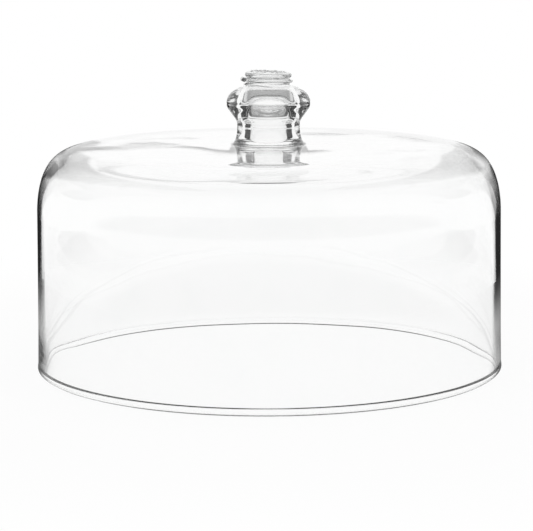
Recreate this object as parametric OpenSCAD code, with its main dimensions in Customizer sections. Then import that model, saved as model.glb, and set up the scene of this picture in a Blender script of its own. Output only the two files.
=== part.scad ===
// Clear glass food cover: a blown bell with a hollow knob, a thread of glass wound round the knob's
// neck and a pressed berry on top. Lengths are in millimetres, +Z is up, and the origin is the
// centre of the mouth, on the table that the lip stands on.

/* [Bell] */
// Outside diameter of the mouth
mouth_d = 280; // [240:1:320]
// Height from the table to the top of the crown
crown_h = 134.4; // [115:0.1:160]
// How much narrower the wall is at the shoulder than at the mouth, on the diameter
wall_draft = 2.8; // [0:0.1:8]
// Height of the shoulder's curve, from the wall to the crown
shoulder_h = 39.7; // [28:0.1:50]
// Power of the shoulder's curve: a higher one gives a squarer shoulder
shoulder_power = 14.5; // [10:0.5:20]

/* [Glass thickness] */
// Wall just above the lip
lip_wall = 3.3; // [2.6:0.1:4.4]
// Wall at the foot of the shoulder
shoulder_wall = 4.8; // [3.6:0.1:6]
// Crown, under the knob
crown_wall = 5; // [4:0.1:7]
// How far below the outer shoulder's curve the inner one starts
shoulder_drop = 3; // [1:0.5:6]

/* [Lip] */
// How far the rounded lip stands out past the wall
lip_out = 0.3; // [0.1:0.05:0.8]
// How far the rounded lip stands in past the wall
lip_in = 1.2; // [0.4:0.1:2]
// Width of the flat that the lip rests on
rest_w = 1.6; // [1:0.1:2.4]

/* [Knob] */
// Diameter of the flared foot
foot_d = 45; // [42:0.5:54]
// Thickness of the foot at its edge
foot_edge = 0.5; // [0.3:0.1:1.5]
// Height of the flare from the foot's edge to the waist
flare_h = 9.5; // [6:0.5:14]
// Diameter of the waist
waist_d = 37.6; // [30:0.2:41]
// Straight height of the waist
waist_h = 2; // [1:0.5:8]
// Height of the swell from the waist to the widest part of the bulb
swell_h = 13.2; // [8:0.2:20]
// Diameter of the bulb
bulb_d = 50; // [44:0.5:60]
// Height of the bulb's round top over its widest part, measured to the axis
bulb_top = 11.2; // [8:0.2:15]

/* [Hollow in the knob] */
// Glass round the hollow at the waist
waist_wall = 6.1; // [3:0.1:8]
// Glass between the hollow's ceiling and the seat of the berry
ceiling_wall = 14.8; // [8:0.2:18]
// Radius of the rounded edge of the ceiling
ceiling_round = 1.5; // [0.8:0.1:4]
// How much the hollow widens down to the crown, on the radius
hollow_flare = 3.5; // [1:0.1:4.5]
// Height over which the hollow widens
hollow_flare_h = 9.5; // [5:0.5:14]
// Radius of the rounded edge between the hollow and the crown's underside
hollow_lip = 2.5; // [1:0.1:3.5]

/* [Thread] */
// Diameter of the wound thread
thread_d = 1.9; // [1.6:0.1:2.6]
// Turns round the neck
thread_turns = 1.5; // [1:0.05:2.5]
// Gap between one turn and the next
thread_gap = 0.5; // [0.45:0.01:0.8]
// Clearance between the thread and what it is wound on
thread_fit = 0.15; // [0.1:0.05:0.3]
// Diameter of the fat loose end
tail_d = 2.7; // [2:0.1:3]
// How far the loose end swings out from the winding
tail_out = 1; // [0.8:0.1:1.5]
// Angle over which the loose end swings out
tail_sweep = 70; // [40:5:90]
// Diameter of the thin end
tip_d = 0.9; // [0.6:0.1:1.4]

/* [Berry] */
// Diameter of a bead
bead_d = 3.6; // [3:0.1:4.4]
// Gap between one ring of beads and the next
bead_gap = 0.45; // [0.3:0.05:1]
// Rings of beads round the middle bead
bead_rings = 2; // [1:1:3]
// How far the undersides of beads and rim stay above the seat
bead_clear = 0.5; // [0.3:0.1:1]
// How far the centres of beads and rim stand above the disc
bead_stand = 0.3; // [0:0.1:0.6]
// Thickness of the smooth round rim
rim_d = 3.6; // [3:0.1:4.4]
// How much the disc rises from its edge to its middle
berry_rise = 0.9; // [0.4:0.1:2]
// How far the disc reaches past the middle of the rim
berry_rim = 0.35; // [0.1:0.05:1]
// Ledge of the neck round the disc
neck_ledge = 0.4; // [0.2:0.1:1]
// How far the berry's seat lies below the top of the winding
berry_tuck = 1.3; // [0.8:0.1:1.4]

/* [Hidden] */
$fn = 96;

glass = [0.86, 0.91, 0.91, 0.45];

// Steps of the curves
shoulder_steps = 30;
shoulder_end = 88;
arc_steps = 12;
tube_sides = 10;
tube_step = 10;
end_steps = 4;
bead_facets = 32;

// Bell
mouth_r = mouth_d / 2;
shoulder_r = mouth_r - wall_draft / 2;
shoulder_z = crown_h - shoulder_h;
inner_r = shoulder_r - shoulder_wall;
inner_z = shoulder_z - shoulder_drop;
inner_h = crown_h - crown_wall - inner_z;
land_margin = 4;
land_r = foot_d / 2 + land_margin;

// Lip
lip_d = lip_wall + lip_out + lip_in;
lip_r = lip_d / 2;
lip_ring = mouth_r - lip_r;
lip_z = sqrt(lip_r * lip_r - rest_w * rest_w / 4);
lip_flat = asin(rest_w / lip_d);
lip_outer_end = acos((lip_r - lip_out) / lip_r);
lip_inner_end = acos((lip_r - lip_in) / lip_r);

// Knob, in heights above the crown
foot_r = foot_d / 2;
waist_r = waist_d / 2;
bulb_r = bulb_d / 2;
waist_z = foot_edge + flare_h;
swell_z = waist_z + waist_h;
bulb_z = swell_z + swell_h;

// Berry disc
bead_r = bead_d / 2;
bead_pitch = bead_d + bead_gap;
beads_per_ring = 6;
rim_r = rim_d / 2;
rim_ring = bead_rings * bead_pitch + bead_r + bead_gap + rim_r;
disc_r = rim_ring + berry_rim;
disc_edge = max(bead_r, rim_r) + bead_clear - bead_stand;
disc_ball = (disc_r * disc_r + berry_rise * berry_rise) / (2 * berry_rise);

// Neck and thread
neck_r = disc_r + neck_ledge;
neck_z = bulb_height(neck_r);
thread_r = thread_d / 2;
thread_pitch = thread_d + thread_gap;
thread_sweep = 360 * thread_turns;
thread_low = neck_z + thread_r + thread_fit;
thread_high = thread_low + thread_pitch * thread_turns;
tail_side = 180;
tip_sweep = 60;
seat_z = thread_high + thread_r - berry_tuck;

// Hollow in the knob, in heights above the crown
hollow_r = waist_r - waist_wall;
hollow_z = seat_z - ceiling_wall;
hole_r = hollow_r + hollow_flare;

// Height of the bulb's round top over the crown at a radius
function bulb_height(r) = bulb_z + bulb_top * sqrt(1 - pow(r / bulb_r, 2));

// Height of the berry disc over its seat at a radius
function disc_height(r) = disc_edge + berry_rise - disc_ball + sqrt(disc_ball * disc_ball - r * r);

// Points of an arc about a centre
function arc(centre, r, from, to) =
    [for (i = [0:arc_steps]) let (a = from + (to - from) * i / arc_steps) centre + r * [cos(a), sin(a)]];

// Shoulder curve from the wall up to the flat of the crown
function shoulder(r, z, h) =
    [for (i = [0:shoulder_steps])
        let (a = shoulder_end * i / shoulder_steps)
        [r * pow(cos(a), 2 / shoulder_power), z + h * sin(a)]];

// A list in the opposite order
function reversed(list) = [for (i = [len(list) - 1:-1:0]) list[i]];

// Thread: share of the loose end, and of the thin end, at an angle along the winding
function tail_share(a) = a >= tail_sweep ? 0 : (1 + cos(180 * a / tail_sweep)) / 2;
function tip_share(a) = let (left = thread_sweep - a) left >= tip_sweep ? 0 : (1 + cos(180 * left / tip_sweep)) / 2;

// Thread: radius of the tube before its ends are rounded
function tube_r(a) = thread_r + (tail_d / 2 - thread_r) * tail_share(a) - (thread_r - tip_d / 2) * tip_share(a);

// Thread: angle that a length along the winding takes up
function length_angle(l) = l / (neck_r + thread_r) * 180 / PI;

// Thread: how much of its radius the tube has at an angle, with a round end at both ends
function end_share(a) =
    let (r = tube_r(a))
    let (s = min(a, thread_sweep - a) / length_angle(r))
    s >= 1 ? 1 : sqrt(1 - pow(1 - s, 2));

// Thread: angles of the rings, closer together at the round ends
function end_angles(r) = [for (i = [1:end_steps]) length_angle(r) * (1 - cos(90 * i / (end_steps + 1)))];
tail_angles = end_angles(tail_d / 2);
tip_angles = [for (a = reversed(end_angles(tip_d / 2))) thread_sweep - a];
wound_steps = ceil(thread_sweep / tube_step);
wound_from = length_angle(tail_d / 2);
wound_to = thread_sweep - length_angle(tip_d / 2);
wound_angles = [for (i = [0:wound_steps]) wound_from + (wound_to - wound_from) * i / wound_steps];
ring_angles = concat(tail_angles, wound_angles, tip_angles);

// Thread: distance of the tube's centre from the axis, and its place in space
function centre_r(a) = neck_r + thread_fit + tube_r(a) + tail_out * tail_share(a);
function centre_z(a) = crown_h + thread_high - thread_pitch * a / 360;
function around(r, a, z) = [r * cos(tail_side + a), r * sin(tail_side + a), z];
function ring(a) =
    let (r = tube_r(a) * end_share(a))
    [for (k = [0:tube_sides - 1])
        let (s = 360 * k / tube_sides)
        around(centre_r(a) + r * cos(s), a, centre_z(a) + r * sin(s))];

// Least gap between one turn of the thread and the next
thread_least_gap = min([
    for (a = ring_angles, b = ring_angles)
        if (b - a > 180)
            norm(around(centre_r(a), a, centre_z(a)) - around(centre_r(b), b, centre_z(b))) - tube_r(a) - tube_r(b)
]);
echo(thread_least_gap = thread_least_gap);

// Blown bell: wall, shoulder and crown, open at the top into the knob's hollow, with a rounded lip
// that has a narrow flat to stand on
module glass_bell() {
    lip_centre = [lip_ring, lip_z];
    outer_lip = arc(lip_centre, lip_r, lip_outer_end, lip_flat - 90);
    inner_lip = arc(lip_centre, lip_r, -90 - lip_flat, -180 - lip_inner_end);
    inner_shoulder = shoulder(inner_r, inner_z, inner_h);
    outer_shoulder = reversed(shoulder(shoulder_r, shoulder_z, shoulder_h));
    hole_edge = arc([hole_r + hollow_lip, inner_z + inner_h + hollow_lip], hollow_lip, 270, 180);
    land = [[hole_r, crown_h], [land_r, crown_h]];
    color(glass)
        rotate_extrude()
            polygon(concat(outer_lip, inner_lip, inner_shoulder, hole_edge, land, outer_shoulder));
}

// Knob: flared foot, waist, bulb and neck, seated on the flat of the crown, with a hollow that opens
// into the bell
module knob_stem() {
    flare = [for (i = [0:arc_steps])
        let (a = 90 * i / arc_steps)
        [foot_r - (foot_r - waist_r) * sin(a), waist_z - flare_h * cos(a)]];
    swell = [for (i = [0:2 * arc_steps])
        let (s = i / (2 * arc_steps))
        [waist_r + (bulb_r - waist_r) * (1 - cos(180 * s)) / 2, swell_z + swell_h * s]];
    neck_angle = acos(neck_r / bulb_r);
    top = [for (i = [1:2 * arc_steps])
        let (a = neck_angle * i / (2 * arc_steps))
        [bulb_r * cos(a), bulb_z + bulb_top * sin(a)]];
    ceiling = arc([hollow_r - ceiling_round, hollow_z - ceiling_round], ceiling_round, 90, 0);
    mouth = [for (i = [0:arc_steps])
        let (a = 90 * i / arc_steps)
        [hole_r - hollow_flare * cos(a), hollow_flare_h * (1 - sin(a))]];
    outside = concat([[foot_r, 0]], flare, swell, top, [[neck_r, seat_z], [0, seat_z]]);
    inside = concat([[0, hollow_z]], ceiling, mouth);
    color(glass)
        translate([0, 0, crown_h])
            rotate_extrude()
                polygon(concat(outside, inside));
}

// Thread of glass wound round the neck, from a fat loose end down to a thin end
module thread_trail() {
    rings = [for (a = ring_angles) ring(a)];
    count = len(rings);
    points = [for (r = rings, p = r) p];
    sides = [for (i = [0:count - 2], k = [0:tube_sides - 1])
        let (here = i * tube_sides + k)
        let (beside = i * tube_sides + (k + 1) % tube_sides)
        each [[here, beside, here + tube_sides], [beside, beside + tube_sides, here + tube_sides]]];
    last = (count - 1) * tube_sides;
    ends = [for (k = [1:tube_sides - 2])
        each [[0, k + 1, k], [last, last + k, last + k + 1]]];
    color(glass)
        polyhedron(points, concat(sides, ends));
}

// Pressed berry: a low disc with a middle bead, rings of beads and a smooth rim, seated on the neck
module berry_prunt() {
    color(glass)
        translate([0, 0, crown_h + seat_z]) {
            intersection() {
                cylinder(h = disc_edge + berry_rise, r = disc_r);
                translate([0, 0, disc_edge + berry_rise - disc_ball])
                    sphere(r = disc_ball);
            }
            translate([0, 0, disc_height(rim_ring) + bead_stand])
                rotate_extrude()
                    translate([rim_ring, 0])
                        circle(r = rim_r, $fn = bead_facets);
            bead(0, 0);
            for (ring = [1:bead_rings], i = [1:beads_per_ring * ring])
                bead(ring * bead_pitch, 360 * i / (beads_per_ring * ring));
        }
}

// One bead of the berry, at a radius and an angle
module bead(r, angle) {
    rotate([0, 0, angle])
        translate([r, 0, disc_height(r) + bead_stand])
            sphere(r = bead_r, $fn = bead_facets);
}

glass_bell();
knob_stem();
thread_trail();
berry_prunt();
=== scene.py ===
import math

import bpy
from mathutils import Matrix, Vector


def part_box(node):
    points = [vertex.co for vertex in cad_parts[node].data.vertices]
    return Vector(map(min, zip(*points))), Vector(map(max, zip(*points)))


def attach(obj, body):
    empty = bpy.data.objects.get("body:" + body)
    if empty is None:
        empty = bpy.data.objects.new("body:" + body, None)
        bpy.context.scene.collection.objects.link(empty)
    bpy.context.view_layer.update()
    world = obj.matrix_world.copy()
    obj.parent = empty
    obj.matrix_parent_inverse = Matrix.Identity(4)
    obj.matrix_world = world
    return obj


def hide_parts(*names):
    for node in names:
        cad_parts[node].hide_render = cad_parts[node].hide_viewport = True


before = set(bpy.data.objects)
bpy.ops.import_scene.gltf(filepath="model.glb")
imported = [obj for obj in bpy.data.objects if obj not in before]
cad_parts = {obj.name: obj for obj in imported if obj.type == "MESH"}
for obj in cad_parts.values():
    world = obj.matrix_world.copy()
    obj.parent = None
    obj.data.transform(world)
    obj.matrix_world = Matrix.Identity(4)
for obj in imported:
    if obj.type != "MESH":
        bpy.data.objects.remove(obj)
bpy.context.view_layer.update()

# A mouth-blown clear glass food cover: a bell, a knob pulled on its crown, a thread wound round the
# knob's neck and a berry pressed on top. All four are melted together, so neighbours sink into each
# other by a hair and light passes the joints as it does in one mass of glass. Lengths are in metres.

MM = 0.001
BODY = "root"

# Sizes read from the frame

BELL_LOW, BELL_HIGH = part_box("glass_bell")
_, KNOB_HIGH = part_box("knob_stem")
_, THREAD_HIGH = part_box("thread_trail")
MOUTH_R = min(-BELL_LOW.x, BELL_HIGH.x, -BELL_LOW.y, BELL_HIGH.y)
CROWN_Z = BELL_HIGH.z
BULB_R = KNOB_HIGH.x
SEAT_Z = KNOB_HIGH.z

# How deep fused pieces sink into each other, and how close points have to be to merge

FUSED = 0.06 * MM
MERGE = 0.0003 * MM

# Ripple of the skins: its sizes are noise scales per metre, and the inside has a noise of its own

RIPPLE_DETAIL = 1.0
INSIDE_NOISE = 3

# Bell

LIP_WALL = 3.3 * MM
LIP_OUT = 0.3 * MM
LIP_IN = 1.2 * MM
LIP_RUN = 5 * MM
LIP_SOFT = 0.3 * MM
LIP_FLAT = 1.6 * MM
LIP_ROUND = 0.95
WALL_DRAFT = 1.4 * MM
WALL_CROWDING = 1.5
SHOULDER_WALL = 4.2 * MM
SHOULDER_DROP = 3 * MM
SHOULDER_H = 39.7 * MM
SHOULDER_POWER = 14.5
SHOULDER_BEND = math.radians(76)
CROWN_WALL = 5 * MM
BELL_AROUND = 320
BELL_LOPSIDE = 0.7 * MM
BELL_RIPPLE = 0.3 * MM
BELL_RIPPLE_SIZE = 14.0
BELL_RIPPLE_SEED = 2.0
LIP_CALM_H = 4 * MM
LIP_CALM_RUN = 24 * MM
FOOT_CALM_RUN = 30 * MM

# Knob

FOOT_R = 22.5 * MM
FLARE_H = 9.5 * MM
FOOT_EDGE = 0.5 * MM
WAIST_R = 18.8 * MM
WAIST_H = 2 * MM
SWELL_H = 13.2 * MM
SWELL_FULL = 1.12
BULB_TOP = 11.2 * MM
BULB_FULL = 0.85
NECK_R = 12.9 * MM
WAIST_WALL = 8.4 * MM
CEILING_WALL = 14.8 * MM
DOME_R = 12.7 * MM
DOME_RISE = 4 * MM
DOME_POWER = 8
DRAW_IN_H = 7 * MM
HOLE_R = 16.2 * MM
HOLLOW_R = WAIST_R - WAIST_WALL
HOLLOW_Z = SEAT_Z - CEILING_WALL
HOLLOW_FLARE = HOLE_R - HOLLOW_R
HOLLOW_FLARE_H = 9.5 * MM
HOLLOW_LIP = 2.5 * MM
KNOB_AROUND = 160
KNOB_RIPPLE = 0.12 * MM
KNOB_RIPPLE_SIZE = 45.0
KNOB_RIPPLE_SEED = 7.0
FOOT_CALM_H = 6 * MM
SEAT_CALM_H = 4 * MM

# Thread

TUBE_R = 0.95 * MM
TAIL_R = 1.45 * MM
TAIL_OUT = 1 * MM
TAIL_DEGREES = 70
TIP_R = 0.45 * MM
TIP_DEGREES = 60
THREAD_TURNS = 1.5
TAIL_SHARE = TAIL_DEGREES / (360 * THREAD_TURNS)
TIP_SHARE = TIP_DEGREES / (360 * THREAD_TURNS)
THREAD_PITCH = 2.7 * MM
THREAD_SAG = 0.5 * MM
THREAD_START = math.pi
THREAD_SINK = 0.1 * MM
THREAD_STEPS = 220
THREAD_SIDES = 20
THREAD_END_LEAST = 0.02

# Berry

DISC_R = 12.5 * MM
DISC_EDGE = 1.6 * MM
DISC_RISE = 0.9 * MM
RIM_R = 1.75 * MM
RIM_RING = 12.15 * MM
RIM_RISE = 1.9 * MM
BERRY_LEAN = 0.035
BEAD_R = 1.8 * MM
BEAD_STEP = 4.05 * MM
BEAD_STAND = 0.3 * MM
BEAD_RINGS = 2
BEADS_PER_STEP = 6
BEAD_WANDER = 0.25 * MM
BEAD_SEED = 4
BERRY_AROUND = 360

# Glass

GLASS_IOR = 1.5
CLEAR_TINT = (0.995, 0.996, 0.9955, 1)
PALE_TINT = (0.984, 0.988, 0.9865, 1)
DEEP_TINT = (0.972, 0.981, 0.978, 1)
SHADOW_TINT = (0.9, 0.93, 0.92, 1.0)
HAZE_SPAN = (0.45, 0.75)
ALL_BOUNCES = 24
GLASS_BOUNCES = 24
MIRROR_BOUNCES = 16

# Sockets of a Mix node that mixes colours

MIX_SHARE = 0
MIX_FIRST = 6
MIX_SECOND = 7
MIX_RESULT = 2

# Camera, as fitted to the photograph's rim, crown and wall lines

PHOTO_W = 533
FOCAL_PX = 2162.7
SENSOR = 36
CAMERA_X = -1.63 * MM
CAMERA_BACK = 1286.5 * MM
CAMERA_UP = 271.7 * MM
CAMERA_PITCH = 0.1626
CAMERA_ROLL = -0.0051

# Studio: a span is a start and an end, and a band also has the softness of its edges

WHITE = (1, 1, 1, 1)
DARK = 0.02
ROOM_LIGHT = 0.6
FLOOR_R = 0.46
FLOOR_DROP = 0.2 * MM
FLOOR_SIDES = 192
BACKDROP_H = 1.2
LAMP_SIZE = 0.9
LAMP_POWER = 6
LAMP_PLACE = (0.15, -0.1, 1.3)

# How often a ray met glass: limits between whole counts

AT_LEAST_ONCE = 0.5
AT_MOST_TWICE = 2.5

# Dark band overhead, between two sines of a ray's slope

CEILING_BAND = (0.42, 0.95, 0.03)
CEILING_SHADE = 0.9

# Rays that glance off the wall, between two sines of their angle to it

GLANCE_BAND = (-0.04, 0.19, 0.03)
GLANCE_SHADE = 0.65
GLANCE_TOP = (0.12, 0.14)

# Tones of the table: white to the eye, with painted shade that only rays off the glass see; reaches
# are shares of its radius and the rest is in metres

TABLE_WHITE = (0.9, 0.9, 0.9, 1)
TABLE_FADE = (0.5, 1.0)
TABLE_GLOW = 0.92
# Painted shade under the cover: grey in the middle, paler out towards the rim
UNDER_SHADE_REACH = (0.2, 0.26)
UNDER_SHADE_GREY = 0.35
UNDER_SHADE_PALE = 0.85
# Painted shade in wedges beside and behind the cover, which the side walls mirror
WEDGE_INNER = (0.125, 0.137)
WEDGE_OUTER = (0.16, 0.175)
WEDGE_SPREAD = 0.65
WEDGE_FRONT = (-0.04, -0.02)
WEDGE_REACH = (0.48, 0.90)
WEDGE_SHADE_NEAR = 0.5
WEDGE_SHADE_FAR = 0.06
# Painted contact shadow: a dark ring on the table under the rim
CONTACT_SHADOW_RING = (133 * MM, 141 * MM, 1.5 * MM)
CONTACT_SHADOW_GREY = 0.15

# Panels of the backdrop: bearings are degrees from straight behind, the rest is in metres

LOW_BEARING = (16, 45, 1.5)
LOW_CLIMB_Z = 0.06
LOW_CLIMB_PER_M = 80
LOW_PALER = (0.10, 0.16)
LOW_PALE = 0.6
LOW_TOP = (0.15, 0.22)
BEHIND_BEARING = (26, 70, 2.0)
BEHIND_FOOT = (0.055, 0.075)
BEFORE_BEARING = (66, 74)
BEFORE_FOOT = (0.09, 0.12)
KNOB_MIDDLE_Z = 0.15
KNOB_LEVEL = (0.43, 0.475, 0.005)
NEAR_RAY = (0.35, 0.36)
THROUGH_BEARING = (32, 66, 2.0)
THROUGH_FOOT = (0.065, 0.085)
ASIDE_BEARING = (50, 100, 2.0)
ASIDE_FOOT = (0.02, 0.05)


class Term:
    """A number in a node tree: the usual signs between two of them make Math nodes."""

    def __init__(self, tree, socket):
        self.tree = tree
        self.socket = socket

    def apply(self, operation, *others):
        return math_node(self.tree, operation, self, *others)

    def __add__(self, other):
        return self.apply("ADD", other)

    def __sub__(self, other):
        return self.apply("SUBTRACT", other)

    def __rsub__(self, other):
        return math_node(self.tree, "SUBTRACT", other, self)

    def __mul__(self, other):
        return self.apply("MULTIPLY", other)

    def __truediv__(self, other):
        return self.apply("DIVIDE", other)

    __radd__ = __add__
    __rmul__ = __mul__


def feed(tree, socket, value):
    """Link a term or an output to an input, or set the input to a plain value."""
    if isinstance(value, Term):
        value = value.socket
    if isinstance(value, bpy.types.NodeSocket):
        tree.links.new(value, socket)
    else:
        socket.default_value = value


def put(tree, kind, inputs=None, **settings):
    """Add a node with its settings and its inputs, which are named or numbered."""
    node = tree.nodes.new(kind)
    for name, value in settings.items():
        setattr(node, name, value)
    for key, value in (inputs or {}).items():
        feed(tree, node.inputs[key], value)
    return node


def math_node(tree, operation, *values):
    """One Math node on terms and plain numbers."""
    node = put(tree, "ShaderNodeMath", dict(enumerate(values)), operation=operation)
    return Term(tree, node.outputs["Value"])


def ramp(tree, value, start, end, low=0.0, high=1.0):
    """Low before start, high after end, and a smooth step between them."""
    inputs = {"Value": value, "From Min": start, "From Max": end, "To Min": low, "To Max": high}
    node = put(tree, "ShaderNodeMapRange", inputs, interpolation_type="SMOOTHSTEP")
    return Term(tree, node.outputs["Result"])


def fall(tree, value, start, end):
    """1 before start, 0 after end, and a smooth step between them."""
    return ramp(tree, value, start, end, 1.0, 0.0)


def window(tree, value, start, end, soft):
    """1 between start and end, 0 outside, with soft edges."""
    return ramp(tree, value, start - soft, start + soft) - ramp(tree, value, end - soft, end + soft)


def parts_of(tree, vector):
    """The three numbers of a vector."""
    node = put(tree, "ShaderNodeSeparateXYZ", {"Vector": vector})
    return [Term(tree, node.outputs[axis]) for axis in "XYZ"]


def vector_of(tree, x, y, z):
    """A vector from three numbers."""
    return put(tree, "ShaderNodeCombineXYZ", {"X": x, "Y": y, "Z": z}).outputs["Vector"]


# Shape trees


def shape_tree(name, sizes):
    """A Geometry Nodes tree with a mesh going in and out, and its named sizes as terms."""
    tree = bpy.data.node_groups.new(name, "GeometryNodeTree")
    tree.interface.new_socket("Geometry", in_out="INPUT", socket_type="NodeSocketGeometry")
    for size, kind in sizes.items():
        tree.interface.new_socket(size, in_out="INPUT", socket_type="NodeSocket" + kind)
    tree.interface.new_socket("Geometry", in_out="OUTPUT", socket_type="NodeSocketGeometry")
    entry = tree.nodes.new("NodeGroupInput")
    given = {socket.name: socket for socket in entry.outputs if socket.name}
    for size, kind in sizes.items():
        if kind != "Material":
            given[size] = Term(tree, given[size])
    return tree, given


def close_tree(tree, mesh, material):
    """Merge seams and poles, smooth, realise, set the glass and put the mesh out."""
    merge = put(tree, "GeometryNodeMergeByDistance", {"Geometry": mesh, "Distance": MERGE})
    smooth = put(tree, "GeometryNodeSetShadeSmooth", {"Geometry": merge.outputs["Geometry"]})
    solid = put(tree, "GeometryNodeRealizeInstances", {"Geometry": smooth.outputs["Geometry"]})
    inputs = {"Geometry": solid.outputs["Geometry"], "Material": material}
    finished = put(tree, "GeometryNodeSetMaterial", inputs)
    put(tree, "NodeGroupOutput", {"Geometry": finished.outputs["Geometry"]})


def sampled(tree, geometry, attribute, kind, index):
    """An attribute of the section's point with that index."""
    if attribute == "position":
        source = tree.nodes.new("GeometryNodeInputPosition").outputs["Position"]
    else:
        named = put(tree, "GeometryNodeInputNamedAttribute", {"Name": attribute}, data_type=kind)
        source = named.outputs["Attribute"]
    inputs = {"Geometry": geometry, "Value": source, "Index": index}
    node = put(tree, "GeometryNodeSampleIndex", inputs, data_type=kind, domain="POINT")
    return node.outputs["Value"]


def turned_mesh(tree, section, around, ripple, ripple_size, lopside, seed):
    """The section turned about the upright axis, its skins rippled and its inside set to one side."""
    points = put(tree, "GeometryNodeAttributeDomainSize", {"Geometry": section})
    inputs = {"Vertices X": points.outputs["Point Count"], "Vertices Y": around + 1}
    grid = put(tree, "GeometryNodeMeshGrid", inputs)
    index = Term(tree, tree.nodes.new("GeometryNodeInputIndex").outputs["Index"])
    row = (index / (around + 1)).apply("FLOOR")
    turn = (row * (around + 1) - index) * math.tau / around
    radius, _, height = parts_of(tree, sampled(tree, section, "position", "FLOAT_VECTOR", row.socket))
    lean_r, _, lean_z = parts_of(tree, sampled(tree, section, "outward", "FLOAT_VECTOR", row.socket))
    share = Term(tree, sampled(tree, section, "ripple_share", "FLOAT", row.socket))
    skin = Term(tree, sampled(tree, section, "skin", "FLOAT", row.socket))
    east = turn.apply("COSINE")
    north = turn.apply("SINE")
    spot = vector_of(tree, radius * east, radius * north, height)
    noise = put(
        tree,
        "ShaderNodeTexNoise",
        {
            "Vector": spot,
            "W": skin * INSIDE_NOISE + seed,
            "Scale": ripple_size,
            "Detail": RIPPLE_DETAIL,
        },
        noise_dimensions="4D",
    )
    sunk = Term(tree, noise.outputs[0]) * ripple * share
    radius = radius - lean_r * sunk
    height = height - lean_z * sunk
    aside = skin * share * lopside
    place = vector_of(tree, radius * east - aside, radius * north, height)
    moved = put(tree, "GeometryNodeSetPosition", {"Geometry": grid.outputs["Mesh"], "Position": place})
    return moved.outputs["Geometry"]


def turned_tree():
    """Bell and knob: a section turned into a closed skin with the unevenness of blown glass."""
    sizes = {
        "Around": "Int",
        "Ripple": "Float",
        "Ripple Size": "Float",
        "Lopside": "Float",
        "Seed": "Float",
        "Material": "Material",
    }
    tree, given = shape_tree("Turned glass", sizes)
    mesh = turned_mesh(
        tree,
        given["Geometry"],
        given["Around"],
        given["Ripple"],
        given["Ripple Size"],
        given["Lopside"],
        given["Seed"],
    )
    close_tree(tree, mesh, given["Material"])
    return tree


def thread_tree():
    """The trail: a rod wound down the neck, fat where it was dropped on and drawn thin at its end."""
    sizes = {
        "Steps": "Int",
        "Sides": "Int",
        "Turns": "Float",
        "Top": "Float",
        "Pitch": "Float",
        "Neck Radius": "Float",
        "Tube": "Float",
        "Tail": "Float",
        "Tail Out": "Float",
        "Tail Share": "Float",
        "Tip": "Float",
        "Tip Share": "Float",
        "Start": "Float",
        "Material": "Material",
    }
    tree, given = shape_tree("Wound thread", sizes)
    line = put(tree, "GeometryNodeMeshLine", {"Count": given["Steps"]})
    index = Term(tree, tree.nodes.new("GeometryNodeInputIndex").outputs["Index"])
    along = 0.5 - (index / (given["Steps"] - 1) * math.pi).apply("COSINE") * 0.5
    fat = (along / given["Tail Share"]).apply("MINIMUM", 1.0)
    fat = (fat * math.pi).apply("COSINE") * 0.5 + 0.5
    thin = ((1.0 - along) / given["Tip Share"]).apply("MINIMUM", 1.0)
    thin = (thin * math.pi).apply("COSINE") * 0.5 + 0.5
    rod = given["Tube"] + (given["Tail"] - given["Tube"]) * fat - (given["Tube"] - given["Tip"]) * thin
    ring = given["Neck Radius"] + rod + given["Tail Out"] * fat
    angle = given["Start"] + along * given["Turns"] * math.tau
    height = given["Top"] - along * given["Turns"] * given["Pitch"]
    place = vector_of(tree, ring * angle.apply("COSINE"), ring * angle.apply("SINE"), height)
    moved = put(tree, "GeometryNodeSetPosition", {"Geometry": line.outputs["Mesh"], "Position": place})
    curve = put(tree, "GeometryNodeMeshToCurve", {"Mesh": moved.outputs["Geometry"]})
    length = given["Neck Radius"] * given["Turns"] * math.tau
    from_end = along.apply("MINIMUM", 1.0 - along) * length / rod
    from_end = 1.0 - from_end.apply("MINIMUM", 1.0)
    round_end = (1.0 - from_end * from_end).apply("SQRT").apply("MAXIMUM", THREAD_END_LEAST)
    upright = put(tree, "GeometryNodeSetCurveNormal", {"Curve": curve.outputs["Curve"]}, mode="Z_UP")
    inputs = {"Resolution": given["Sides"], "Radius": 1.0}
    profile = put(tree, "GeometryNodeCurvePrimitiveCircle", inputs)
    swept = put(
        tree,
        "GeometryNodeCurveToMesh",
        {
            "Curve": upright.outputs["Curve"],
            "Profile Curve": profile.outputs["Curve"],
            "Scale": rod * round_end,
            "Fill Caps": True,
        },
    )
    close_tree(tree, swept.outputs["Mesh"], given["Material"])
    return tree


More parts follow.
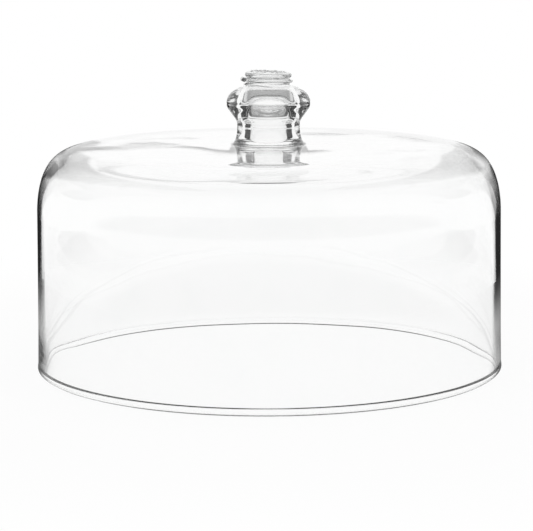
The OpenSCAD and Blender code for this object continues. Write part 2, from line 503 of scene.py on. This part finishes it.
def berry_tree():
    """The prunt: a turned disc with rings of beads pressed up out of its skin, leaning a little."""
    sizes = {
        "Around": "Int",
        "Bead": "Float",
        "Bead Step": "Float",
        "Bead Foot": "Float",
        "Ball": "Float",
        "Wander": "Float",
        "Seat": "Float",
        "Lean": "Float",
        "Seed": "Int",
        "Material": "Material",
    }
    tree, given = shape_tree("Beaded disc", sizes)
    base = turned_mesh(
        tree,
        given["Geometry"],
        given["Around"],
        ripple=0.0,
        ripple_size=1.0,
        lopside=0.0,
        seed=0.0,
    )
    base = put(tree, "GeometryNodeMergeByDistance", {"Geometry": base, "Distance": MERGE})
    rings = tree.nodes.new("GeometryNodeJoinGeometry")
    middle = put(tree, "GeometryNodeMeshLine", {"Count": 1})
    tree.links.new(middle.outputs["Mesh"], rings.inputs["Geometry"])
    for step in range(1, BEAD_RINGS + 1):
        inputs = {"Vertices": step * BEADS_PER_STEP, "Radius": given["Bead Step"] * step}
        circle = put(tree, "GeometryNodeMeshCircle", inputs)
        tree.links.new(circle.outputs["Mesh"], rings.inputs["Geometry"])
    x, y, _ = parts_of(tree, tree.nodes.new("GeometryNodeInputPosition").outputs["Position"])
    drop = given["Ball"] - (given["Ball"] * given["Ball"] - x * x - y * y).apply("SQRT")
    wander = put(tree, "FunctionNodeRandomValue", {"Seed": given["Seed"]}, data_type="FLOAT_VECTOR")
    spread = given["Wander"]
    feed(tree, wander.inputs[0], vector_of(tree, spread * -1.0, spread * -1.0, spread * -1.0))
    feed(tree, wander.inputs[1], vector_of(tree, spread, spread, spread))
    centre = vector_of(tree, x, y, given["Bead Foot"] - drop)
    seeds = put(
        tree,
        "GeometryNodeSetPosition",
        {
            "Geometry": rings.outputs["Geometry"],
            "Position": centre,
            "Offset": wander.outputs[0],
        },
    )
    nearest = put(
        tree,
        "GeometryNodeProximity",
        {"Geometry": seeds.outputs["Geometry"]},
        target_element="POINTS",
    )
    here = tree.nodes.new("GeometryNodeInputPosition").outputs["Position"]
    normal = tree.nodes.new("GeometryNodeInputNormal").outputs["Normal"]
    ends = {0: here, 1: nearest.outputs["Position"]}
    gap = put(tree, "ShaderNodeVectorMath", ends, operation="SUBTRACT").outputs["Vector"]
    above = put(tree, "ShaderNodeVectorMath", {0: gap, 1: normal}, operation="DOT_PRODUCT")
    above = Term(tree, above.outputs["Value"])
    reach = Term(tree, nearest.outputs["Distance"])
    beside = reach * reach - above * above
    swell = (given["Bead"] * given["Bead"] - beside).apply("MAXIMUM", 0.0).apply("SQRT")
    rise = (swell - above).apply("MAXIMUM", 0.0)
    push = put(tree, "ShaderNodeVectorMath", {0: normal, "Scale": rise}, operation="SCALE")
    beaded = put(
        tree,
        "GeometryNodeSetPosition",
        {"Geometry": base.outputs["Geometry"], "Offset": push.outputs["Vector"]},
    )
    x, _, z = parts_of(tree, tree.nodes.new("GeometryNodeInputPosition").outputs["Position"])
    height = ((z - given["Seat"]) / RIM_RISE).apply("MINIMUM", 1.0)
    lift = x * height * given["Lean"] * -1.0
    leaning = put(
        tree,
        "GeometryNodeSetPosition",
        {"Geometry": beaded.outputs["Geometry"], "Offset": vector_of(tree, 0.0, 0.0, lift)},
    )
    close_tree(tree, leaning.outputs["Geometry"], given["Material"])
    return tree


def shaped_piece(name, mesh, tree, sizes):
    """Run a shape tree on a mesh and keep the result as a plain mesh object."""
    piece = bpy.data.objects.new(name, mesh)
    bpy.context.scene.collection.objects.link(piece)
    modifier = piece.modifiers.new("shape", "NODES")
    modifier.node_group = tree
    for item in tree.interface.items_tree:
        if item.in_out == "INPUT" and item.name in sizes:
            modifier[item.identifier] = sizes[item.name]
    depsgraph = bpy.context.evaluated_depsgraph_get()
    shaped = bpy.data.meshes.new_from_object(piece.evaluated_get(depsgraph), depsgraph=depsgraph)
    shaped.name = name
    piece.modifiers.clear()
    piece.data = shaped
    return piece


# Sections


def section_mesh(name, points, skins, shares):
    """Section points in the upright plane, each with its way out, its skin and its share of ripple."""
    mesh = bpy.data.meshes.new(name)
    edges = [(place, place + 1) for place in range(len(points) - 1)]
    mesh.from_pydata([(r, 0, z) for r, z in points], edges, [])
    for attribute, kind in (("outward", "FLOAT_VECTOR"), ("skin", "FLOAT"), ("ripple_share", "FLOAT")):
        mesh.attributes.new(attribute, kind, "POINT")
    outward = mesh.attributes["outward"]
    skin = mesh.attributes["skin"]
    share = mesh.attributes["ripple_share"]
    last = len(points) - 1
    for place in range(len(points)):
        before = points[max(place - 1, 0)]
        after = points[min(place + 1, last)]
        run = Vector((after[0] - before[0], after[1] - before[1])).normalized()
        outward.data[place].vector = (run.y, 0, -run.x)
        skin.data[place].value = skins[place]
        share.data[place].value = shares[place]
    return mesh


def eased(share):
    """A smooth step from 0 to 1."""
    share = min(max(share, 0.0), 1.0)
    return share * share * (3 - 2 * share)


def shoulder_points(radius, base, rise, stop):
    """From the top of the wall over the shoulder to the edge of the hole in the crown."""
    bend_steps = 64
    flat_steps = 20
    points = []
    for step in range(bend_steps + 1):
        angle = SHOULDER_BEND * step / bend_steps
        reach = radius * math.cos(angle) ** (2 / SHOULDER_POWER)
        points.append((reach, base + rise * math.sin(angle)))
    edge = points[-1][0]
    for step in range(1, flat_steps + 1):
        reach = edge + (stop - edge) * step / flat_steps
        lift = math.sqrt(1 - (reach / radius) ** SHOULDER_POWER)
        points.append((reach, base + rise * lift))
    return points


def bead_swell(rise, radius, stand):
    """How far the round lip stands past the wall at a rise above its middle, with a soft corner."""
    round_part = min(rise, LIP_ROUND * radius)
    reach = math.sqrt(radius**2 - round_part**2)
    reach -= (rise - round_part) * round_part / reach
    past = reach - (radius - stand)
    level = (stand + math.sqrt(stand**2 + LIP_SOFT**2)) / 2
    return (past + math.sqrt(past**2 + LIP_SOFT**2)) / 2 * stand / level


def bell_section():
    """From the hole in the crown down the inside, round the lip and over the outside to the hole."""
    wall_steps = 20
    bead_steps = 18
    lip_steps = 40
    hole_steps = 10
    lip_r = (LIP_WALL + LIP_OUT + LIP_IN) / 2
    lip_z = math.sqrt(lip_r**2 - (LIP_FLAT / 2) ** 2)
    lip_centre = MOUTH_R - lip_r
    outer_foot = MOUTH_R - LIP_OUT
    inner_foot = outer_foot - LIP_WALL
    outer_top = MOUTH_R - WALL_DRAFT
    inner_top = outer_top - SHOULDER_WALL
    outer_z = CROWN_Z - SHOULDER_H
    inner_z = outer_z - SHOULDER_DROP
    under_z = CROWN_Z - CROWN_WALL
    hole = [(HOLE_R, CROWN_Z)]
    for step in range(hole_steps + 1):
        angle = math.pi / 2 * step / hole_steps
        reach = HOLE_R + HOLLOW_LIP * (1 - math.cos(angle))
        hole.append((reach, under_z + HOLLOW_LIP * (1 - math.sin(angle))))
    outer = []
    inner = []
    for wall, foot, top, top_z, stand, side in (
        (outer, outer_foot, outer_top, outer_z, LIP_OUT, 1),
        (inner, inner_foot, inner_top, inner_z, LIP_IN, -1),
    ):
        rises = [LIP_RUN * step / bead_steps for step in range(bead_steps)]
        tall = top_z - lip_z - LIP_RUN
        for step in range(wall_steps + 1):
            rises.append(LIP_RUN + tall * (step / wall_steps) ** WALL_CROWDING)
        for rise in rises:
            line = foot + (top - foot) * rise / (top_z - lip_z)
            wall.append((line + side * bead_swell(rise, lip_r, stand), lip_z + rise))
    lip = []
    for step in range(1, lip_steps):
        angle = math.pi * step / lip_steps
        height = max(lip_z - lip_r * math.sin(angle), 0.0)
        lip.append((lip_centre - lip_r * math.cos(angle), height))
    over = shoulder_points(outer_top, outer_z, SHOULDER_H, HOLE_R)
    under = shoulder_points(inner_top, inner_z, under_z - inner_z, HOLE_R + HOLLOW_LIP)
    inside = hole[:-1] + under[::-1] + inner[:-1][::-1]
    outside = outer + over[1:]
    points = inside + lip + outside
    skins = [1.0] * len(inside) + [0.5] * len(lip) + [0.0] * len(outside)
    shares = []
    for radius, height in points:
        from_lip = eased((height - LIP_CALM_H) / LIP_CALM_RUN)
        from_knob = eased((radius - FOOT_R) / FOOT_CALM_RUN)
        shares.append(from_lip * from_knob)
    return section_mesh("bell_section", points, skins, shares)


def hollow_points():
    """From the middle of the hollow's ceiling over its dome, in to its waist and out to its mouth."""
    dome_steps = 36
    draw_steps = 20
    flare_steps = 24
    foot = CROWN_Z - FUSED
    dome_z = HOLLOW_Z - DOME_RISE
    narrow_z = dome_z - DRAW_IN_H
    points = []
    for step in range(dome_steps + 1):
        angle = math.pi / 2 * step / dome_steps
        reach = DOME_R * math.sin(angle) ** (2 / DOME_POWER)
        points.append((reach, dome_z + DOME_RISE * math.cos(angle) ** (2 / DOME_POWER)))
    for step in range(1, draw_steps + 1):
        share = step / draw_steps
        reach = DOME_R - (DOME_R - HOLLOW_R) * eased(share)
        points.append((reach, dome_z - DRAW_IN_H * share))
    for step in range(1, flare_steps + 1):
        height = narrow_z + (foot - narrow_z) * step / flare_steps
        down = max(1 - (height - foot) / HOLLOW_FLARE_H, 0.0)
        spread = 1 - math.sqrt(max(1 - down**2, 0.0))
        points.append((HOLLOW_R + HOLLOW_FLARE * spread, height))
    return points


def knob_section():
    """Down the hollow, out along the foot, then up the flare, waist, bulb and neck to the seat."""
    steps = 28
    neck_steps = 8
    face_steps = 4
    points = hollow_points()
    flare_foot = CROWN_Z - FUSED
    flare_rise = FLARE_H + FOOT_EDGE + FUSED
    mouth = points[-1][0]
    for step in range(1, face_steps):
        points.append((mouth + (FOOT_R - mouth) * step / face_steps, flare_foot))
    inner_count = len(points)
    for step in range(steps + 1):
        angle = math.pi / 2 * step / steps
        reach = FOOT_R - (FOOT_R - WAIST_R) * math.sin(angle)
        points.append((reach, flare_foot + flare_rise * (1 - math.cos(angle))))
    waist_top = points[-1][1] + WAIST_H
    points.append((WAIST_R, points[-1][1] + WAIST_H / 2))
    for step in range(steps + 1):
        share = step / steps
        reach = WAIST_R + (BULB_R - WAIST_R) * eased(SWELL_FULL * share)
        points.append((reach, waist_top + SWELL_H * share))
    bulb_z = points[-1][1]
    neck_angle = math.acos((NECK_R / BULB_R) ** (1 / BULB_FULL))
    for step in range(1, steps + 1):
        angle = neck_angle * step / steps
        reach = BULB_R * math.cos(angle) ** BULB_FULL
        points.append((reach, bulb_z + BULB_TOP * math.sin(angle)))
    shoulder_z = points[-1][1]
    neck_rise = SEAT_Z - FUSED - shoulder_z
    for step in range(1, neck_steps + 1):
        points.append((NECK_R, shoulder_z + neck_rise * step / neck_steps))
    for step in reversed(range(face_steps)):
        points.append((NECK_R * step / face_steps, SEAT_Z - FUSED))
    shares = []
    for _, height in points:
        from_foot = eased((height - CROWN_Z) / FOOT_CALM_H)
        from_seat = eased((SEAT_Z - height) / SEAT_CALM_H)
        shares.append(from_foot * from_seat)
    skins = [1.0] * inner_count + [0.0] * (len(points) - inner_count)
    return section_mesh("knob_section", points, skins, shares)


def berry_section(ball):
    """From the middle of the seat out, round the smooth rim and over the low dome to the middle."""
    seat = SEAT_Z - 2 * FUSED
    rim_z = SEAT_Z + RIM_RISE
    top_z = SEAT_Z + DISC_EDGE + DISC_RISE
    flat_steps = 12
    wall_steps = 3
    turn_steps = 40
    top_steps = 44
    past = DISC_R - RIM_RING
    rim_foot = rim_z - math.sqrt(RIM_R**2 - past**2)
    points = [(DISC_R * step / flat_steps, seat) for step in range(flat_steps)]
    points += [(DISC_R, seat + (rim_foot - seat) * step / wall_steps) for step in range(wall_steps)]
    first = -math.acos(past / RIM_R)
    for step in range(turn_steps + 1):
        angle = first + (math.pi - first) * step / turn_steps
        points.append((RIM_RING + RIM_R * math.cos(angle), rim_z + RIM_R * math.sin(angle)))
    edge = points[-1][0]
    for step in range(1, top_steps + 1):
        reach = edge * (1 - step / top_steps)
        sag = ball - math.sqrt(ball**2 - reach**2)
        points.append((reach, top_z - sag))
    plain = [0.0] * len(points)
    return section_mesh("berry_section", points, plain, plain)


# Glass


def value_group(name, given, made):
    """A shader node group with named inputs and outputs."""
    tree = bpy.data.node_groups.new(name, "ShaderNodeTree")
    for socket, kind in given.items():
        tree.interface.new_socket(socket, in_out="INPUT", socket_type="NodeSocket" + kind)
    for socket, kind in made.items():
        tree.interface.new_socket(socket, in_out="OUTPUT", socket_type="NodeSocket" + kind)
    entry = tree.nodes.new("NodeGroupInput")
    return tree, {socket.name: socket for socket in entry.outputs if socket.name}


def waviness_group():
    """Soft swells of a skin that cooled while it turned: long round the piece, short up it."""
    tree, given = value_group(
        "Blown waviness",
        {"Vector": "Vector", "Size": "Float", "Stretch": "Float"},
        {"Height": "Float"},
    )
    x, y, z = parts_of(tree, given["Vector"])
    stretched = vector_of(tree, x, y, z * Term(tree, given["Stretch"]))
    inputs = {"Vector": stretched, "Scale": given["Size"], "Detail": 2.0, "Roughness": 0.35}
    broad = put(tree, "ShaderNodeTexNoise", inputs)
    put(tree, "NodeGroupOutput", {"Height": broad.outputs[0]})
    return tree


def haze_group():
    """Wiping marks and seeds: a little roughness and a faint tint that change over the skin."""
    tree, given = value_group(
        "Wiped haze",
        {
            "Vector": "Vector",
            "Size": "Float",
            "Least": "Float",
            "Most": "Float",
            "Clear": "Color",
            "Deep": "Color",
        },
        {"Roughness": "Float", "Color": "Color"},
    )
    inputs = {"Vector": given["Vector"], "Scale": given["Size"], "Detail": 4.0, "Distortion": 0.6}
    cloud = put(tree, "ShaderNodeTexNoise", inputs)
    amount = ramp(tree, cloud.outputs[0], *HAZE_SPAN)
    least = Term(tree, given["Least"])
    rough = least + amount * (Term(tree, given["Most"]) - least)
    inputs = {MIX_SHARE: amount, MIX_FIRST: given["Clear"], MIX_SECOND: given["Deep"]}
    mix = put(tree, "ShaderNodeMix", inputs, data_type="RGBA")
    put(tree, "NodeGroupOutput", {"Roughness": rough, "Color": mix.outputs[MIX_RESULT]})
    return tree


def glass(name, deep, wave_size, wave_stretch, wave_height, haze_size, haze_most):
    """Clear glass with its own waviness and haze; lamps pass it with a faint shadow."""
    material = bpy.data.materials.new(name)
    material.use_nodes = True
    tree = material.node_tree
    tree.nodes.clear()
    spot = tree.nodes.new("ShaderNodeTexCoord").outputs["Object"]
    wave = put(tree, "ShaderNodeGroup", node_tree=WAVINESS)
    for socket, value in (("Vector", spot), ("Size", wave_size), ("Stretch", wave_stretch)):
        feed(tree, wave.inputs[socket], value)
    haze = put(tree, "ShaderNodeGroup", node_tree=HAZE)
    for socket, value in (
        ("Vector", spot),
        ("Size", haze_size),
        ("Least", 0.0),
        ("Most", haze_most),
        ("Clear", CLEAR_TINT),
        ("Deep", deep),
    ):
        feed(tree, haze.inputs[socket], value)
    bump = put(tree, "ShaderNodeBump", {"Height": wave.outputs["Height"], "Distance": wave_height})
    body = put(
        tree,
        "ShaderNodeBsdfPrincipled",
        {
            "Base Color": haze.outputs["Color"],
            "Roughness": haze.outputs["Roughness"],
            "Normal": bump.outputs["Normal"],
            "IOR": GLASS_IOR,
            "Transmission Weight": 1.0,
        },
    )
    passed = put(tree, "ShaderNodeBsdfTransparent", {"Color": SHADOW_TINT})
    path = tree.nodes.new("ShaderNodeLightPath")
    mix = put(
        tree,
        "ShaderNodeMixShader",
        {0: path.outputs["Is Shadow Ray"], 1: body.outputs["BSDF"], 2: passed.outputs["BSDF"]},
    )
    put(tree, "ShaderNodeOutputMaterial", {"Surface": mix.outputs["Shader"]})
    return material


WAVINESS = waviness_group()
HAZE = haze_group()
BELL_GLASS = glass(
    "blown bell glass",
    deep=PALE_TINT,
    wave_size=22,
    wave_stretch=0.5,
    wave_height=0.1 * MM,
    haze_size=30,
    haze_most=0.012,
)
KNOB_GLASS = glass(
    "hollow knob glass",
    deep=PALE_TINT,
    wave_size=60,
    wave_stretch=0.6,
    wave_height=0.02 * MM,
    haze_size=80,
    haze_most=0.012,
)
THREAD_GLASS = glass(
    "trailed thread glass",
    deep=DEEP_TINT,
    wave_size=160,
    wave_stretch=1.0,
    wave_height=0.02 * MM,
    haze_size=150,
    haze_most=0.015,
)
BERRY_GLASS = glass(
    "pressed berry glass",
    deep=DEEP_TINT,
    wave_size=260,
    wave_stretch=1.0,
    wave_height=0.008 * MM,
    haze_size=200,
    haze_most=0.012,
)


# Pieces


def dressed(piece, node):
    """Let a finished piece stand for its CAD node and ride on the one body."""
    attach(piece, BODY)
    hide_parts(node)
    return piece


def make_bell(tree):
    """The bell, with a ripple that dies out towards its lip and the knob."""
    sizes = {
        "Around": BELL_AROUND,
        "Ripple": BELL_RIPPLE,
        "Ripple Size": BELL_RIPPLE_SIZE,
        "Lopside": BELL_LOPSIDE,
        "Seed": BELL_RIPPLE_SEED,
        "Material": BELL_GLASS,
    }
    piece = shaped_piece("bell", bell_section(), tree, sizes)
    return dressed(piece, "glass_bell")


def make_knob(tree):
    """The hollow knob, with a finer ripple that dies out towards its foot and its seat."""
    sizes = {
        "Around": KNOB_AROUND,
        "Ripple": KNOB_RIPPLE,
        "Ripple Size": KNOB_RIPPLE_SIZE,
        "Lopside": 0.0,
        "Seed": KNOB_RIPPLE_SEED,
        "Material": KNOB_GLASS,
    }
    piece = shaped_piece("knob", knob_section(), tree, sizes)
    return dressed(piece, "knob_stem")


def make_thread():
    """The trail round the neck, which starts from an empty mesh."""
    sizes = {
        "Steps": THREAD_STEPS,
        "Sides": THREAD_SIDES,
        "Turns": THREAD_TURNS,
        "Top": THREAD_HIGH.z - TAIL_R - THREAD_SAG,
        "Pitch": THREAD_PITCH,
        "Neck Radius": NECK_R - THREAD_SINK,
        "Tube": TUBE_R,
        "Tail": TAIL_R,
        "Tail Out": TAIL_OUT,
        "Tail Share": TAIL_SHARE,
        "Tip": TIP_R,
        "Tip Share": TIP_SHARE,
        "Start": THREAD_START,
        "Material": THREAD_GLASS,
    }
    blank = bpy.data.meshes.new("thread_blank")
    piece = shaped_piece("thread", blank, thread_tree(), sizes)
    return dressed(piece, "thread_trail")


def make_berry():
    """The berry on its seat; its low dome is the cap of a ball."""
    ball = (DISC_R**2 + DISC_RISE**2) / (2 * DISC_RISE)
    sizes = {
        "Around": BERRY_AROUND,
        "Bead": BEAD_R,
        "Bead Step": BEAD_STEP,
        "Bead Foot": SEAT_Z + DISC_EDGE + DISC_RISE + BEAD_STAND,
        "Ball": ball,
        "Wander": BEAD_WANDER,
        "Seat": SEAT_Z,
        "Lean": BERRY_LEAN,
        "Seed": BEAD_SEED,
        "Material": BERRY_GLASS,
    }
    piece = shaped_piece("berry", berry_section(ball), berry_tree(), sizes)
    return dressed(piece, "berry_prunt")


# Studio


def paths(tree):
    """Which way a ray came: seen straight, through glass, off glass, or off a dull surface."""
    node = tree.nodes.new("ShaderNodeLightPath")
    straight = Term(tree, node.outputs["Is Camera Ray"])
    bent = Term(tree, node.outputs["Transmission Depth"]).apply("GREATER_THAN", AT_LEAST_ONCE)
    mirrored = Term(tree, node.outputs["Glossy Depth"]).apply("GREATER_THAN", AT_LEAST_ONCE)
    dull = Term(tree, node.outputs["Diffuse Depth"]).apply("GREATER_THAN", AT_LEAST_ONCE)
    return straight, bent, mirrored, dull


def either(share, yes, no):
    """Yes where the share is 1, no where it is 0."""
    return no + share * (yes - no)


def circle_points(radius, height):
    """Points on a level circle round the upright axis."""
    points = []
    for step in range(FLOOR_SIDES):
        angle = math.tau * step / FLOOR_SIDES
        points.append((radius * math.cos(angle), radius * math.sin(angle), height))
    return points


def make_stage(name, points, faces, material):
    """A flat-shaded stage object."""
    mesh = bpy.data.meshes.new(name)
    mesh.from_pydata(points, [], faces)
    mesh.materials.append(material)
    piece = bpy.data.objects.new(name, mesh)
    bpy.context.scene.collection.objects.link(piece)
    return piece


def studio_world():
    """A white room, dimmer as a light than to the eye, with a dark band overhead for bent rays."""
    world = bpy.data.worlds.new("white room")
    bpy.context.scene.world = world
    world.use_nodes = True
    tree = world.node_tree
    tree.nodes.clear()
    straight, bent, mirrored, dull = paths(tree)
    seen = straight.apply("MAXIMUM", bent).apply("MAXIMUM", mirrored)
    _, _, rise = parts_of(tree, tree.nodes.new("ShaderNodeTexCoord").outputs["Generated"])
    ceiling = window(tree, rise, *CEILING_BAND) * bent * (1.0 - mirrored) * CEILING_SHADE
    level = either(seen * (1.0 - dull), 1.0 - ceiling, ROOM_LIGHT)
    light = put(tree, "ShaderNodeBackground", {"Color": WHITE, "Strength": level})
    put(tree, "ShaderNodeOutputWorld", {"Surface": light.outputs["Background"]})


def grazed(tree, x, y, bent):
    """1 where a ray glanced off the outside of the wall, which its length and its end tell."""
    length = Term(tree, tree.nodes.new("ShaderNodeLightPath").outputs["Ray Length"])
    past = x * x + y * y - MOUTH_R**2 - length * length
    sine = past / (length * (2 * MOUTH_R))
    return window(tree, sine, *GLANCE_BAND) * (1.0 - bent)


def table_shade_wedge(tree, x, y):
    """The table beside and behind the cover, with painted shade where the side walls mirror it."""
    off_axis = x.apply("ABSOLUTE")
    outer = ramp(tree, off_axis - y * WEDGE_SPREAD, *WEDGE_OUTER)
    wedge = ramp(tree, off_axis, *WEDGE_INNER) - outer
    return wedge.apply("MAXIMUM", 0.0) * ramp(tree, y, *WEDGE_FRONT)


def table_material():
    """White table that fades into the room; rays off the glass see painted shade on it, in the tones
    of a studio.
    """
    material = bpy.data.materials.new("white table")
    material.use_nodes = True
    tree = material.node_tree
    tree.nodes.clear()
    x, y, _ = parts_of(tree, tree.nodes.new("ShaderNodeTexCoord").outputs["Object"])
    reach = (x * x + y * y).apply("SQRT") / FLOOR_R
    _, bent, mirrored, dull = paths(tree)
    # Painted shade under the cover, seen by rays the glass bent and mirrored
    inner = either(bent, ramp(tree, reach, *UNDER_SHADE_REACH, UNDER_SHADE_GREY, UNDER_SHADE_PALE), 1.0)
    # Painted shade in the wedges, darker further out
    wedge_shade_tone = ramp(tree, reach, *WEDGE_REACH, WEDGE_SHADE_NEAR, WEDGE_SHADE_FAR)
    off_glass = either(table_shade_wedge(tree, x, y), wedge_shade_tone, inner)
    # Painted shade: darker where a ray glanced off the outside of the wall
    off_glass = off_glass * (1.0 - grazed(tree, x, y, bent) * GLANCE_SHADE)
    # Painted contact shadow under the rim, seen by rays the glass bent and mirrored
    ring = [size / FLOOR_R for size in CONTACT_SHADOW_RING]
    contact_shadow = window(tree, reach, *ring) * bent * mirrored
    glow = either(contact_shadow, CONTACT_SHADOW_GREY, either(mirrored, off_glass, 1.0))
    shown = (1.0 - dull) * ramp(tree, reach, *TABLE_FADE, TABLE_GLOW, 1.0)
    lit = put(tree, "ShaderNodeBsdfDiffuse", {"Color": TABLE_WHITE})
    white = put(tree, "ShaderNodeEmission", {"Color": WHITE, "Strength": glow})
    inputs = {0: shown, 1: lit.outputs["BSDF"], 2: white.outputs["Emission"]}
    mix = put(tree, "ShaderNodeMixShader", inputs)
    put(tree, "ShaderNodeOutputMaterial", {"Surface": mix.outputs["Shader"]})
    return material


def make_table():
    """The round white table under the cover."""
    points = circle_points(FLOOR_R, -FLOOR_DROP)
    make_stage("table", points, [tuple(range(FLOOR_SIDES))], table_material())


def low_panel(tree, turn, z):
    """A panel at the height of the wall, which swings aside and pales as it rises."""
    climb = (z - LOW_CLIMB_Z).apply("MAXIMUM", 0.0) * LOW_CLIMB_PER_M
    panel = window(tree, turn - climb, *LOW_BEARING) * ramp(tree, z, *LOW_PALER, 1.0, LOW_PALE)
    return panel * fall(tree, z, *LOW_TOP)


def knob_panels(tree, turn, z, length):
    """Panels for the knob: a ray's level length tells that it came from there or from close by."""
    behind = window(tree, turn, *BEHIND_BEARING) * ramp(tree, z, *BEHIND_FOOT)
    before = ramp(tree, turn, *BEFORE_BEARING) * ramp(tree, z, *BEFORE_FOOT)
    rise = z - KNOB_MIDDLE_Z
    level = (length * length - rise * rise).apply("MAXIMUM", 0.0).apply("SQRT")
    near = fall(tree, length, *NEAR_RAY)
    return behind.apply("MAXIMUM", before) * window(tree, level, *KNOB_LEVEL).apply("MAXIMUM", near)


def through_panels(tree, turn, z):
    """Panels that are seen through one wall."""
    through = window(tree, turn, *THROUGH_BEARING) * ramp(tree, z, *THROUGH_FOOT)
    aside = window(tree, turn, *ASIDE_BEARING) * ramp(tree, z, *ASIDE_FOOT)
    return through.apply("MAXIMUM", aside)


def card_mix(tree, share, tone):
    """A surface that is a card of that tone by the share, and otherwise is not there."""
    dark = put(tree, "ShaderNodeEmission", {"Color": WHITE, "Strength": tone})
    gone = tree.nodes.new("ShaderNodeBsdfTransparent")
    inputs = {0: share, 1: gone.outputs["BSDF"], 2: dark.outputs["Emission"]}
    mix = put(tree, "ShaderNodeMixShader", inputs)
    put(tree, "ShaderNodeOutputMaterial", {"Surface": mix.outputs["Shader"]})


def backdrop_material():
    """Dark panels on the round backdrop, each seen only by rays that the glass bent or mirrored."""
    material = bpy.data.materials.new("dark panels")
    material.use_nodes = True
    tree = material.node_tree
    tree.nodes.clear()
    x, y, z = parts_of(tree, tree.nodes.new("ShaderNodeTexCoord").outputs["Object"])
    _, bent, mirrored, _ = paths(tree)
    path = tree.nodes.new("ShaderNodeLightPath")
    length = Term(tree, path.outputs["Ray Length"])
    once = Term(tree, path.outputs["Transmission Depth"]).apply("LESS_THAN", AT_MOST_TWICE)
    turn = x.apply("ABSOLUTE").apply("ARCTAN2", y) * math.degrees(1)
    glance = grazed(tree, x, y, bent) * fall(tree, z, *GLANCE_TOP)
    off_glass = low_panel(tree, turn, z) * once
    off_glass = off_glass.apply("MAXIMUM", knob_panels(tree, turn, z, length) * bent)
    off_glass = off_glass.apply("MAXIMUM", glance)
    through = through_panels(tree, turn, z) * bent * once
    card_mix(tree, either(mirrored, off_glass, through), DARK)
    return material


def make_backdrop():
    """The round backdrop at the table's edge, which only the glass sees."""
    points = circle_points(FLOOR_R, -FLOOR_DROP) + circle_points(FLOOR_R, BACKDROP_H)
    faces = []
    for step in range(FLOOR_SIDES):
        after = (step + 1) % FLOOR_SIDES
        faces.append((step, after, FLOOR_SIDES + after, FLOOR_SIDES + step))
    wall = make_stage("backdrop", points, faces, backdrop_material())
    wall.visible_camera = False
    wall.visible_diffuse = False
    wall.visible_shadow = False


def make_lamp():
    """One broad soft lamp overhead, for the shadow on the table."""
    data = bpy.data.lights.new("overhead", "AREA")
    data.shape = "DISK"
    data.size = LAMP_SIZE
    data.energy = LAMP_POWER
    lamp = bpy.data.objects.new("overhead", data)
    lamp.location = LAMP_PLACE
    lamp.visible_camera = False
    lamp.visible_glossy = False
    lamp.visible_transmission = False
    bpy.context.scene.collection.objects.link(lamp)


def make_camera():
    """The photograph's standpoint: a little higher than the knob, looking slightly down."""
    data = bpy.data.cameras.new("camera")
    data.sensor_width = SENSOR
    data.lens = FOCAL_PX / PHOTO_W * SENSOR
    camera = bpy.data.objects.new("camera", data)
    place = Matrix.Translation((CAMERA_X, -CAMERA_BACK, CAMERA_UP))
    tilt = Matrix.Rotation(math.pi / 2 - CAMERA_PITCH, 4, "X")
    roll = Matrix.Rotation(CAMERA_ROLL, 4, "Z")
    camera.matrix_world = place @ tilt @ roll
    bpy.context.scene.collection.objects.link(camera)
    bpy.context.scene.camera = camera


make_camera()
studio_world()
make_table()
make_backdrop()
make_lamp()
TURNED = turned_tree()
make_bell(TURNED)
make_knob(TURNED)
make_thread()
make_berry()

scene = bpy.context.scene
scene.view_settings.view_transform = "Standard"
scene.cycles.max_bounces = ALL_BOUNCES
scene.cycles.transmission_bounces = GLASS_BOUNCES
scene.cycles.glossy_bounces = MIRROR_BOUNCES
